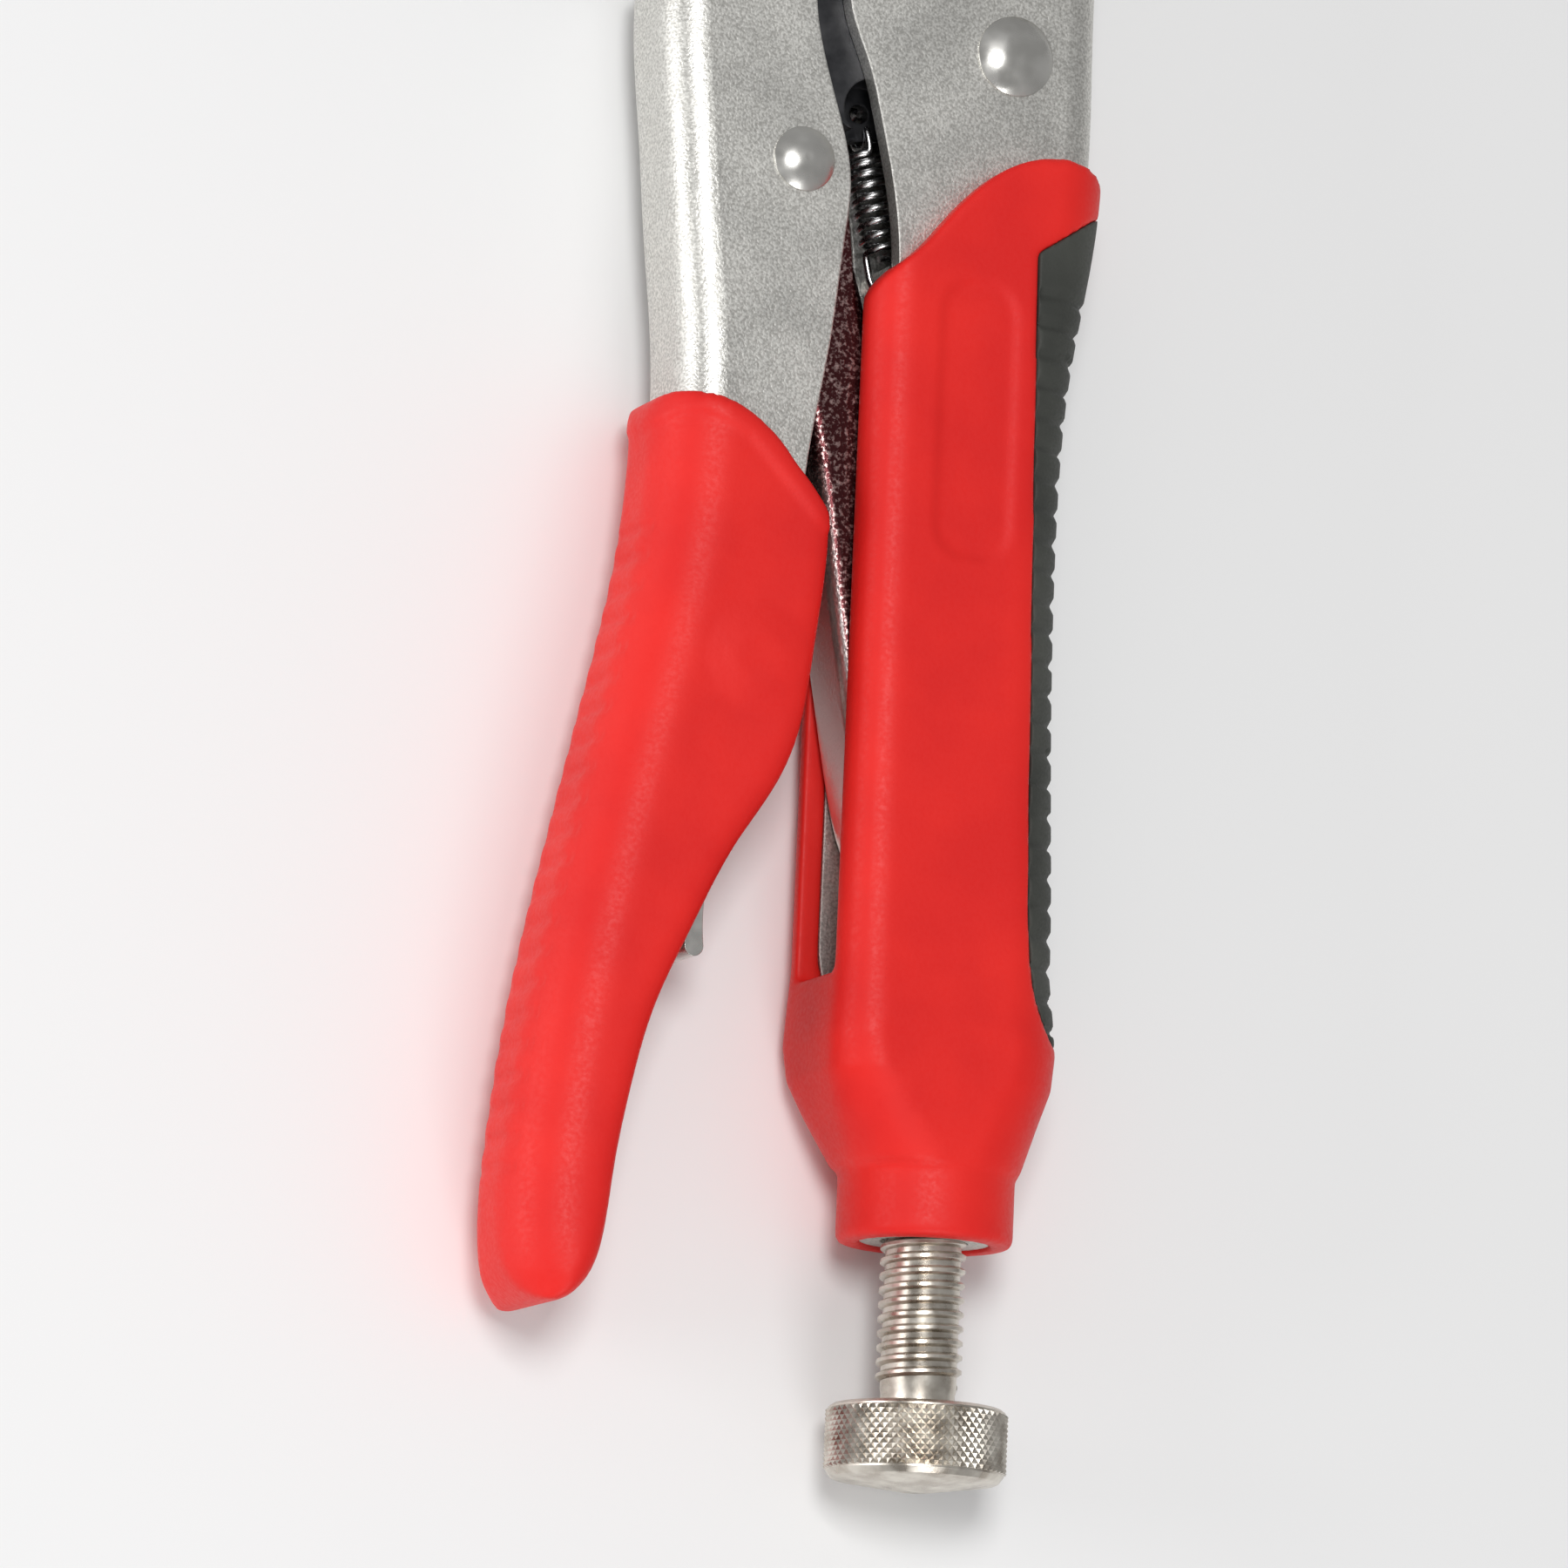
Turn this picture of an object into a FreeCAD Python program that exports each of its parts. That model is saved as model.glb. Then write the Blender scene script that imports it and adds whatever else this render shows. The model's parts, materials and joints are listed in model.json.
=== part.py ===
import FreeCAD, Part
import Sketcher
import math
import os

# Locking pliers lying on their side. +X is the side of the fixed handle, +Y points to the jaws and the
# screw runs along Y. Outlines are drawn around the jaw pivot, which is their (0, 0).

Vector = FreeCAD.Vector
doc = FreeCAD.newDocument("LockingPliers")
sheet = doc.addObject("Spreadsheet::Sheet", "Sizes")

SIZES = {
    "pivot_left": 20.5,          # the jaw pivot's place in the part's frame
    "pivot_up": 49.35,
    "middle": 10.8,              # height of the tool's middle plane
    "channel_width": 14.8,       # both handles, outside
    "channel_gap": 10.4,         # both handles, between the walls
    "bend_radius": 4.6,
    "tube_radius": 7.15,
    "bore_radius": 4.83,
    "screw_x": -2.1,             # the screw's axis
    "handle_pivot_x": -32.6,     # rivet between the moving jaw and the moving handle
    "handle_pivot_y": 7.3,
    "link_pivot_x": -25.2,
    "link_pivot_y": -15.5,
    "link_length": 83.0,
    "link_width": 9.8,
    "link_thickness": 9.8,
    "link_tilt": 16.16,
    "link_round": 1.6,
    "lever_pivot_x": -28.7,
    "lever_pivot_y": -72.7,
    "lever_width": 8.4,
    "lever_boss_radius": 4.1,
    "jaw_thickness": 10.2,
    "shank_thickness": 10.4,
    "jaw_head_thickness": 12.4,
    "tail_thickness": 1.6,       # the moving jaw's tail where the spring hooks in
    "tail_round": 3.6,
    "hook_hole_radius": 1.1,
    "jaw_rivet_radius": 3.4,
    "handle_rivet_radius": 3.0,
    "link_rivet_radius": 2.75,
    "lever_rivet_radius": 2.0,
    "shank_rivet_radius": 2.5,
    "running_gap": 0.05,         # radial play of a rivet in a piece that turns on it
    "lug_height": 7.0,
    "screw_radius": 4.7625,
    "neck_radius": 4.1,
    "stub_radius": 3.0,          # the shank's end inside the knob
    "stub_depth": 6.0,
    "screw_point": -102.3,
    "knob_top": -152.0,
    "knob_radius": 10.1,
    "knob_length": 9.6,
    "seam_width": 0.5,
    "grip_width": 20.4,
    "moving_grip_width": 19.0,
    "moving_grip_round": 2.6,
    "bulb_width": 21.6,
    "collar_radius": 9.8,
    "collar_round": 0.9,
    "insert_depth": 1.5,
    "rivet_room_radius": 3.2,    # the hollow in the moving grip over a lever rivet's head
    "rivet_room_depth": 0.75,
    "through": 40.0,             # longer than any piece is thick
}
for row, (alias, number) in enumerate(SIZES.items(), 1):
    sheet.set(f"A{row}", alias)
    sheet.set(f"B{row}", str(number))
    sheet.setAlias(f"B{row}", alias)
doc.recompute()

TOUCHING = 0.01
LONG_EDGE = 20.0
made = []


def size(alias):
    return float(sheet.get(alias))


def put(item, x="0", y="0"):
    """Places an object at a point of the tool, given from the jaw pivot."""
    item.setExpression("Placement.Base.x", f"Sizes.pivot_left + ({x})")
    item.setExpression("Placement.Base.y", f"Sizes.pivot_up + ({y})")
    item.setExpression("Placement.Base.z", "Sizes.middle")


def new_body(label, x="0", y="0", keep=True):
    body = doc.addObject("PartDesign::Body", label)
    body.Label = label
    put(body, x, y)
    if keep:
        made.append(body)
    return body


def new_sketch(body, role="XY_Plane", offset=0.0):
    plane = next(f for f in body.Origin.OriginFeatures if f.Role == role)
    sketch = body.newObject("Sketcher::SketchObject", "Sketch")
    sketch.AttachmentSupport = (plane, [""])
    sketch.MapMode = "FlatFace"
    sketch.AttachmentOffset = FreeCAD.Placement(Vector(0, 0, offset), FreeCAD.Rotation())
    return sketch


def outline(body, start, *segments, role="XY_Plane", offset=0.0):
    """A closed outline. A segment is ("line", ends...), ("arc", middle, end) or ("curve", points...)."""
    sketch = new_sketch(body, role, offset)
    here = Vector(*start)
    for kind, *points in segments:
        points = [Vector(*p) for p in points]
        if kind == "line":
            for point in points:
                sketch.addGeometry(Part.LineSegment(here, point))
                here = point
        elif kind == "arc":
            sketch.addGeometry(Part.Arc(here, *points))
        else:
            curve = Part.BSplineCurve()
            curve.interpolate([here] + points)
            sketch.addGeometry(curve)
        here = points[-1]
    if here.distanceToPoint(Vector(*start)) > TOUCHING:
        sketch.addGeometry(Part.LineSegment(here, Vector(*start)))
    return sketch


def circles(body, *rings, role="XY_Plane", offset=0.0):
    """Circles, each (x, y, radius), where the radius is an expression of the sheet's cells."""
    sketch = new_sketch(body, role, offset)
    for x, y, radius in rings:
        circle = Part.Circle(Vector(x, y, 0), Vector(0, 0, 1), 1.0)
        index = sketch.addGeometry(circle)
        number = sketch.addConstraint(Sketcher.Constraint("Radius", index, 1.0))
        sketch.setExpression(f"Constraints[{number}]", radius)
    return sketch


def pad(body, sketch, width):
    """Thickens a sketch both ways about its plane. width is an expression."""
    feature = body.newObject("PartDesign::Pad", "Pad")
    feature.Profile = sketch
    feature.SideType = "Symmetric"
    feature.setExpression("Length", width)
    sketch.Visibility = False
    doc.recompute()
    return feature


def cut(body, sketch, width="Sizes.through", one_way=False, back=False):
    """Cuts a sketch through the body, both ways about its plane or one way, and checks that it cut."""
    before = body.Shape.Volume
    feature = body.newObject("PartDesign::Pocket", "Pocket")
    feature.Profile = sketch
    feature.SideType = "One side" if one_way else "Symmetric"
    feature.Reversed = back
    feature.setExpression("Length", width)
    doc.recompute()
    if not body.Shape.Volume < before - TOUCHING:
        raise RuntimeError(f"a pocket in {body.Label} cuts nothing")
    return feature


def turn(body, sketch, axis="V_Axis", remove=False):
    """Turns a sketch about its own vertical axis, or about the line drawn in it."""
    feature = body.newObject("PartDesign::Groove" if remove else "PartDesign::Revolution", "Turn")
    feature.Profile = sketch
    feature.ReferenceAxis = (sketch, [axis])
    feature.Angle = 360
    doc.recompute()
    return feature


def round_edges(body, radius, chosen):
    """Rounds the edges whose middle point passes the test."""
    base = body.Tip
    names = []
    for number, edge in enumerate(base.Shape.Edges, 1):
        middle = edge.valueAt((edge.FirstParameter + edge.LastParameter) / 2)
        if chosen(middle, edge):
            names.append(f"Edge{number}")
    if not names:
        raise RuntimeError(f"no edge to round in {body.Label}")
    feature = body.newObject("PartDesign::Fillet", "Fillet")
    feature.Base = (base, names)
    feature.setExpression("Radius", radius)
    doc.recompute()
    return feature


def boolean(kind, label, base, tool, keep=False):
    result = doc.addObject(f"Part::{kind}", label)
    result.Label = label
    result.Base = base
    result.Tool = tool
    doc.recompute()
    if keep:
        made.append(result)
    return result


def along_tool(edge):
    """True for a long edge that runs along the tool, at one height."""
    box = edge.BoundBox
    return box.ZLength < TOUCHING and box.YLength > LONG_EDGE


# Fixed handle: steel sheet folded round a back on the +X side, rolled into a tube for the screw

FIXED_BACK = [(5.4, -100), (6.4, -78), (6.7, -60), (7.2, -42), (8.6, -30), (10.4, -20), (11.3, -9),
              (11.2, 5), (11.5, 20), (12.0, 33)]
FIXED_MOUTH = [(-19.2, 9), (-20.4, 4.6), (-17.9, -3), (-15.9, -9.7), (-14.3, -16.3), (-13.2, -24),
               (-13.4, -34), (-13.9, -48)]


def fixed_outline(body):
    return outline(
        body, (5.05, -112), ("curve", *FIXED_BACK), ("line", (-2.2, 33)),
        ("curve", (-4.9, 24.5), (-12.2, 15), *FIXED_MOUTH), ("line", (-13.9, -101)),
        ("arc", (-12.6, -107), (-9.25, -112)),
    )


def add_tube(body, radius, top, bottom, remove=False):
    """A cylinder on the screw's axis, added to the body or cut from it."""
    axis = size("screw_x")
    edge = axis + radius
    sketch = outline(body, (axis, bottom), ("line", (edge, bottom), (edge, top), (axis, top)))
    sketch.addGeometry(Part.LineSegment(Vector(axis, bottom - 5, 0), Vector(axis, top + 5, 0)), True)
    return turn(body, sketch, "Axis0", remove)


def channel_back(middle, edge):
    return along_tool(edge) and abs(abs(middle.z) - size("channel_width") / 2) < TOUCHING


fixed_handle = new_body("fixed_handle")
pad(fixed_handle, fixed_outline(fixed_handle), "Sizes.channel_width")
round_edges(fixed_handle, "Sizes.bend_radius", lambda p, e: channel_back(p, e) and p.x > 4)
inside = outline(
    fixed_handle, (-30, 40), ("line", (9.9, 40), (9.7, 33)),
    ("curve", (9.3, 20), (9.0, 5), (9.1, -9), (8.2, -20), (6.4, -30), (5.0, -42), (4.5, -60), (4.2, -78),
     (3.2, -100)),
    ("line", (3.0, -105.5), (-30, -105.5)),
)
cut(fixed_handle, inside, "Sizes.channel_gap")
TUBE_END = -133.8
add_tube(fixed_handle, size("tube_radius"), -104, TUBE_END)
add_tube(fixed_handle, size("bore_radius"), -100, TUBE_END - 1, remove=True)
seam = outline(fixed_handle, (-12, -136), ("line", (-6, -136), (-6, -110), (-12, -110)))
cut(fixed_handle, seam, "Sizes.seam_width")
holes = circles(
    fixed_handle, (0, 0, "Sizes.jaw_rivet_radius"), (4, 15, "Sizes.shank_rivet_radius"),
    (2.5, 26.5, "Sizes.shank_rivet_radius"),
)
cut(fixed_handle, holes)
# the lug that holds the spring stands on the inside of the far wall
lug = fixed_handle.newObject("PartDesign::Pad", "Lug")
lug.Profile = outline(
    fixed_handle, (-12.3, -25.3), ("arc", (-11.4, -24.5), (-10.5, -25.3)), ("line", (-10.5, -26.2)),
    ("arc", (-11.4, -27.0), (-12.3, -26.2)), offset=-5.3,
)
lug.setExpression("Length", "Sizes.lug_height")
doc.recompute()

# Fixed jaw: forged, its shank fills the channel and its head overhangs the moving jaw


def teeth(start, end, depth, count):
    """The points of a row of teeth along a line, their tips on the line and their roots to its left."""
    run = Vector(end[0] - start[0], end[1] - start[1], 0)
    side = Vector(-run.y, run.x, 0).normalize() * depth
    points = []
    for tooth in range(count):
        root = Vector(*start) + run * ((tooth + 0.5) / count) + side
        tip = Vector(*start) + run * ((tooth + 1) / count)
        points += [(root.x, root.y), (tip.x, tip.y)]
    return points


def curved_teeth(centre, radius, first, last, depth, count):
    """The points of teeth round a hollow. Angles in degrees, roots outside the circle of the tips."""
    points = []
    for step in range(2 * count + 1):
        angle = math.radians(first + (last - first) * step / (2 * count))
        reach = radius + depth * (step % 2)
        points.append((centre[0] + reach * math.cos(angle), centre[1] + reach * math.sin(angle)))
    return points


# both hollows are arcs about points beside the line where the jaws meet
HOLLOW_RADIUS = 15.4
TOOTH = 0.8
FIXED_HOLLOW = curved_teeth((-18.2, 33.6), HOLLOW_RADIUS, 47.5, -45, TOOTH, 13)
MOVING_HOLLOW = curved_teeth((2.2, 33.6), HOLLOW_RADIUS, 132.5, 225, TOOTH, 13)
FIXED_MEET = -7.9
MOVING_MEET = -8.1
FIXED_TIPS = teeth((FIXED_MEET, 62.3), (FIXED_MEET, 46.0), TOOTH, 9)
MOVING_TIPS = teeth((MOVING_MEET, 46.0), (MOVING_MEET, 62.0), TOOTH, 9)

fixed_jaw = new_body("fixed_jaw")
shank = outline(
    fixed_jaw, (FIXED_MEET, 62.3), ("line", *FIXED_TIPS),
    ("line", *FIXED_HOLLOW, (-7.85, 21.6), (-7.85, 11.8), (-5.2, 6.6)), ("arc", (0, 8.4), (7.4, 3.97)),
    ("line", (8.75, 3.4), (9.1, 20), (9.5, 33), (9.5, 36)),
    ("curve", (9.0, 44), (6.5, 52), (0.5, 59.5), (-5, 62.2)),
)
pad(fixed_jaw, shank, "Sizes.shank_thickness")
head = outline(
    fixed_jaw, (FIXED_MEET, 62.3), ("line", *FIXED_TIPS),
    ("line", *FIXED_HOLLOW[:14], (-2.4, 33.2), (12.2, 33.2)),
    ("curve", (12.2, 42), (9.2, 52), (2.5, 59.7), (-5, 62.9)),
)
pad(fixed_jaw, head, "Sizes.jaw_head_thickness")
shank_holes = circles(fixed_jaw, (4, 15, "Sizes.shank_rivet_radius"), (2.5, 26.5, "Sizes.shank_rivet_radius"))
cut(fixed_jaw, shank_holes)

# Moving jaw: turns on the jaw pivot, carries the handle rivet and the spring's hook hole

moving_jaw = new_body("moving_jaw")
plate = outline(
    moving_jaw, (MOVING_MEET, 46.0), ("line", *MOVING_TIPS),
    ("curve", (-13, 59.5), (-19.5, 51), (-25.5, 38), (-31, 24), (-37.4, 12.1)),
    ("arc", (-39.2, 5.5), (-33.4, 0.55)),
    ("curve", (-28.5, -1.2), (-24, -6.2), (-20.2, -9.8), (-15.5, -10.6)),
    ("line", (-11.5, -9.4)), ("curve", (-6, -7.4), (0, -8.0)), ("arc", (7.2, 3.5), (-5.4, 5.9)),
    ("line", (-8.15, 11.9), (-8.15, 21.6), *reversed(MOVING_HOLLOW)),
)
pad(moving_jaw, plate, "Sizes.jaw_thickness")
moving_head = outline(
    moving_jaw, (MOVING_MEET, 46.0), ("line", *MOVING_TIPS),
    ("curve", (-14, 60.6), (-21.5, 51.6), (-27.5, 38)), ("line", (-27, 35.5), (-14.2, 35.5)),
    ("line", *reversed(MOVING_HOLLOW[:12])),
)
pad(moving_jaw, moving_head, "Sizes.jaw_head_thickness")
pin_holes = circles(
    moving_jaw, (0, 0, "Sizes.jaw_rivet_radius + Sizes.running_gap"),
    (size("handle_pivot_x"), size("handle_pivot_y"), "Sizes.handle_rivet_radius + Sizes.running_gap"),
)
cut(moving_jaw, pin_holes)
# the tail is thinned round the hole for the spring's hook
for side in (1, -1):
    thinned = circles(moving_jaw, (-16.0, -8.0, "Sizes.tail_round"), offset=side * size("tail_thickness") / 2)
    cut(moving_jaw, thinned, one_way=True, back=side > 0)
cut(moving_jaw, circles(moving_jaw, (-16.0, -7.5, "Sizes.hook_hole_radius")))

# Moving handle: the second channel, its back on the -X side

MOVING_BACK = [(-41.7, -3), (-40.6, -13), (-39.6, -23), (-38.4, -33), (-37.8, -42), (-38.3, -52),
               (-39.9, -64), (-42.6, -77), (-45.8, -92), (-48.6, -106), (-50.4, -118), (-51.4, -128),
               (-51.5, -136)]
MOVING_MOUTH = [(-43.6, -128), (-41.4, -117), (-38.6, -107), (-34.6, -99), (-29.5, -90.5), (-25.6, -82),
                (-24.2, -72), (-24.0, -60), (-22.9, -47), (-21.0, -35), (-20.0, -25), (-19.5, -16.5),
                (-21.2, -9.5), (-23.3, -3), (-24.5, 4)]


def moving_outline(body):
    return outline(
        body, (-41.9, 3.6), ("curve", *MOVING_BACK),
        ("line", (-49.8, -139.2), (-46.0, -139.2), (-44.4, -137)),
        ("curve", *MOVING_MOUTH), ("arc", (-31.0, 15.8), (-40.3, 10.8)), ("line", (-39.9, 4.8), (-41.9, 3.6)),
    )


moving_handle = new_body("moving_handle")
pad(moving_handle, moving_outline(moving_handle), "Sizes.channel_width")
round_edges(moving_handle, "Sizes.bend_radius", lambda p, e: channel_back(p, e) and p.x < -40)
inside = outline(
    moving_handle, (-20, 25), ("line", (-50, 25), (-50, 6), (-39.9, 3.6)),
    ("curve", (-39.5, -3), (-38.4, -13), (-37.4, -23), (-36.2, -33), (-35.6, -42), (-36.1, -52), (-37.7, -64),
     (-40.4, -77), (-43.6, -92), (-46.4, -106), (-48.2, -118), (-49.2, -128), (-49.3, -136), (-49.3, -142)),
    ("line", (-12, -142), (-12, 25)),
)
cut(moving_handle, inside, "Sizes.channel_gap")
rivet_holes = circles(
    moving_handle, (size("handle_pivot_x"), size("handle_pivot_y"), "Sizes.handle_rivet_radius"),
    (size("link_pivot_x"), size("link_pivot_y"), "Sizes.link_rivet_radius"),
    (size("lever_pivot_x"), size("lever_pivot_y"), "Sizes.lever_rivet_radius"),
)
cut(moving_handle, rivet_holes)

# Rivets: a shank through both walls and a domed head on each side


def rivet(label, x, y, radius, head_radius, head_height, keep=True):
    body = new_body(label, x, y, keep)
    wall = size("channel_width") / 2
    top = wall + head_height
    flat = 0.5
    sketch = outline(
        body, (0, -top), ("line", (flat, -top)),
        ("arc", (head_radius * 0.6, -wall - head_height * 0.74), (head_radius, -wall - 0.25)),
        ("line", (head_radius, -wall), (radius, -wall), (radius, wall), (head_radius, wall)),
        ("line", (head_radius, wall + 0.25)),
        ("arc", (head_radius * 0.6, wall + head_height * 0.74), (flat, top)), ("line", (0, top)),
        role="XZ_Plane",
    )
    turn(body, sketch)
    return body


handle_pivot = "Sizes.handle_pivot_x", "Sizes.handle_pivot_y"
link_pivot = "Sizes.link_pivot_x", "Sizes.link_pivot_y"
lever_pivot = "Sizes.lever_pivot_x", "Sizes.lever_pivot_y"
rivet("jaw_pivot_rivet", "0", "0", size("jaw_rivet_radius"), 4.6, 1.7)
rivet("handle_rivet", *handle_pivot, size("handle_rivet_radius"), 4.2, 1.5)
rivet("link_rivet", *link_pivot, size("link_rivet_radius"), 3.65, 1.5)
rivet("lever_rivet", *lever_pivot, size("lever_rivet_radius"), 3.1, 0.7)
rivet("jaw_rivet_front", "2.5", "26.5", size("shank_rivet_radius"), 3.7, 1.3)
rivet("jaw_rivet_rear", "4", "15", size("shank_rivet_radius"), 3.7, 1.3)

# Toggle link: a bar drawn upright from its eye and tilted to point at the screw. Its left edge swells
# out below the release lever's nose

toggle_link = new_body("toggle_link", *link_pivot)
toggle_link.Placement = FreeCAD.Placement(Vector(), FreeCAD.Rotation(Vector(0, 0, 1), size("link_tilt")))
put(toggle_link, *link_pivot)
half = size("link_width") / 2
reach = size("link_length")
eye = 5.6
shoulder = 8.0
bar = outline(
    toggle_link, (-half, -shoulder), ("line", (-half, -28)),
    ("curve", (-5.7, -38), (-7.1, -50), (-8.1, -60), (-8.9, -70), (-8.7, -76.5), (-6.6, -82.4),
     (0, -reach - half)),
    ("arc", (half * 0.7071, -reach - half * 0.7071), (half, -reach)),
    ("line", (half, -shoulder)), ("arc", (half + 0.45, -4.0), (eye, 0)), ("arc", (0, eye), (-eye, 0)),
    ("arc", (-half - 0.45, -4.0), (-half, -shoulder)),
)
pad(toggle_link, bar, "Sizes.link_thickness")
cut(toggle_link, circles(toggle_link, (0, 0, "Sizes.link_rivet_radius + Sizes.running_gap")))
round_edges(toggle_link, "Sizes.link_round", lambda p, e: along_tool(e))

# Release lever: a strip inside the moving handle, its nose beside the link and its tail past the grip

release_lever = new_body("release_lever", *lever_pivot)
strip = outline(
    release_lever, (1.1, 27.6), ("arc", (2.8, 29.6), (4.4, 27.6)),
    ("curve", (3.4, 18), (1.8, 8), (1.0, -4), (-0.9, -14), (-2.6, -22), (-3.2, -28), (-3.0, -31.5)),
    ("arc", (-4.1, -32.8), (-5.2, -31.5)),
    ("curve", (-5.4, -28), (-4.8, -22), (-3.1, -13), (-1.2, -4), (-0.6, 8), (0.6, 18), (1.1, 27.6)),
)
pad(release_lever, strip, "Sizes.lever_width")
pad(release_lever, circles(release_lever, (0, 0, "Sizes.lever_boss_radius")), "Sizes.lever_width")
cut(release_lever, circles(release_lever, (0, 0, "Sizes.lever_rivet_radius + Sizes.running_gap")))

# Jaw spring: a stretched coil with a loop at each end, from the jaw's tail to the lug. The straight legs
# are a touch thicker than the wire, so that they merge with the loops

SPRING_TOP = Vector(-16.0, -7.5, 0)
SPRING_FOOT = Vector(-11.4, -25.75, 0)
LUG_REACH = 1.35
WIRE = 0.42
LEG = 0.46
COIL = 2.1
TURNS = 8.25
LEG_REACH = 0.9
LOOP_GAP = 0.6


def spring_shape():
    run = SPRING_FOOT - SPRING_TOP
    along = Vector(run).normalize()
    upright = Vector(0, 0, 1)
    aside = along.cross(upright)
    # each loop's far inside rests on what it holds, and a straight leg joins it to the coil
    loop_centre = SPRING_TOP + along * (COIL - WIRE * 0.5)
    hook_centre = SPRING_FOOT - along * (COIL - WIRE - LUG_REACH)
    coil_start = loop_centre + along * (COIL + LOOP_GAP)
    coil_end = hook_centre - along * (COIL + LOOP_GAP)
    climb = (coil_end - coil_start).Length
    helix = Part.makeHelix(climb / TURNS, climb, COIL)
    section = Part.Wire(Part.Circle(Vector(COIL, 0, 0), Vector(0, 1, 0), WIRE).toShape())
    coil = Part.Wire(helix).makePipeShell([section], True, True)
    coil.Placement = FreeCAD.Placement(coil_start, FreeCAD.Rotation(upright, aside, along, "ZXY"))
    loop = Part.makeTorus(COIL, WIRE, loop_centre, aside)
    hook = Part.makeTorus(COIL, WIRE, hook_centre, upright)
    reach = COIL + LEG_REACH
    first_leg = Part.makeCylinder(LEG, reach, loop_centre + upright * COIL, along)
    last_leg = Part.makeCylinder(LEG, reach, hook_centre - along * reach + aside * COIL, along)
    return coil.fuse([loop, hook, first_leg, last_leg])


jaw_spring = doc.addObject("Part::Feature", "jaw_spring")
jaw_spring.Label = "jaw_spring"
jaw_spring.Shape = spring_shape()
put(jaw_spring)
made.append(jaw_spring)

# Adjusting screw: shank with a cone point and a neck under the knob. Heights are from the jaw pivot

adjusting_screw = new_body("adjusting_screw", "Sizes.screw_x")
radius = size("screw_radius")
neck = size("neck_radius")
stub = size("stub_radius")
play = size("running_gap")
point = size("screw_point")
knob_top = size("knob_top")
stub_end = knob_top - size("stub_depth")
shank_profile = outline(
    adjusting_screw, (0, point), ("line", (2.6, point), (radius, point - 1.6), (radius, knob_top + 1.8)),
    ("line", (neck, knob_top + 1.2), (neck, knob_top + play), (stub, knob_top + play), (stub, stub_end)),
    ("line", (0, stub_end)),
)
turn(adjusting_screw, shank_profile)

# Screw knob: a knurled disc on the shank's stub

screw_knob = new_body("screw_knob", "Sizes.screw_x")
rim = size("knob_radius")
knob_end = knob_top - size("knob_length")
bore = stub + play
bore_end = stub_end - play
knob_profile = outline(
    screw_knob, (bore, knob_top), ("line", (rim - 0.6, knob_top), (rim, knob_top - 0.6)),
    ("line", (rim, knob_end + 2.4), (rim - 0.9, knob_end + 1.5), (0, knob_end)),
    ("line", (0, bore_end), (bore, bore_end)),
)
turn(screw_knob, knob_profile)

# Fixed grip: a moulded sleeve over the channel and the tube, with a bulb and a collar at its end


def rounded(body, left, right, half, near, far, offset):
    """A section across the grip: an oblong with near corners at its left and far corners at its right."""
    q = math.sqrt(0.5)
    return outline(
        body, (left + near, half), ("line", (right - far, half)),
        ("arc", (right - far * (1 - q), half - far * (1 - q)), (right, half - far)),
        ("line", (right, far - half)),
        ("arc", (right - far * (1 - q), far * (1 - q) - half), (right - far, -half)),
        ("line", (left + near, -half)),
        ("arc", (left + near * (1 - q), near * (1 - q) - half), (left, near - half)),
        ("line", (left, half - near)),
        ("arc", (left + near * (1 - q), half - near * (1 - q)), (left + near, half)),
        role="XZ_Plane", offset=offset,
    )


half_bulb = size("bulb_width") / 2
half_grip = size("grip_width") / 2
GRIP_LEFT = -16.6
LIP_ROUND = 4.6
# (distance below the pivot, the back's place) down to where the bulb starts
GRIP_BACK = [(11, 12.7), (18, 12.3), (24, 11.5), (30, 10.5), (38, 9.4), (48, 8.8), (62, 8.7), (82, 9.2),
             (104, 9.9)]


def loft(body, sections, ruled=False):
    feature = body.newObject("PartDesign::AdditiveLoft", "Loft")
    feature.Profile = sections[0]
    feature.Sections = sections[1:]
    feature.Ruled = ruled
    doc.recompute()


def sleeve_loft(body, inset=0.0):
    loft(body, [
        rounded(body, GRIP_LEFT + inset, back - inset, half_grip - inset, LIP_ROUND, 7.4 - inset, below)
        for below, back in GRIP_BACK
    ])


fixed_outer = new_body("fixed_grip_outer", keep=False)
sleeve_loft(fixed_outer)
above = outline(
    fixed_outer, (-30, -5), ("line", (-30, -33.5), (-16.7, -33.2)),
    ("curve", (-15.2, -27.6), (-11.6, -24.2), (-8.6, -20.6), (-4.6, -16.2), (-0.5, -13.2), (3.6, -11.8),
     (8.0, -11.8), (14.0, -14.6)), ("line", (30, -14.6), (30, -5)),
)
cut(fixed_outer, above)

# the bulb swells a little past its width and is shaved flat on both sides
SHAVED = 0.15
bulb = new_body("grip_bulb", keep=False)
loft(bulb, [
    rounded(bulb, GRIP_LEFT, 9.9, half_grip, LIP_ROUND, 7.4, 104),
    rounded(bulb, -16.9, 10.6, half_grip + 0.4, 4.9, 8.2, 108.5),
    rounded(bulb, -17.2, 11.1, half_bulb + SHAVED, 5.4, 8.8, 112.5),
    rounded(bulb, -16.8, 10.8, half_bulb + SHAVED, 6.2, 9.0, 116.5),
    rounded(bulb, -15.2, 9.6, half_bulb - 0.3, 7.4, 9.2, 120.5),
    rounded(bulb, -12.4, 8.0, 10.0, 9.0, 9.4, 126),
], ruled=True)
COLLAR_END = -134.2
add_tube(bulb, size("collar_radius"), -125, COLLAR_END)
round_edges(
    bulb, "Sizes.collar_round",
    lambda p, e: e.BoundBox.YLength < TOUCHING and abs(p.y - COLLAR_END) < TOUCHING,
)
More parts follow.
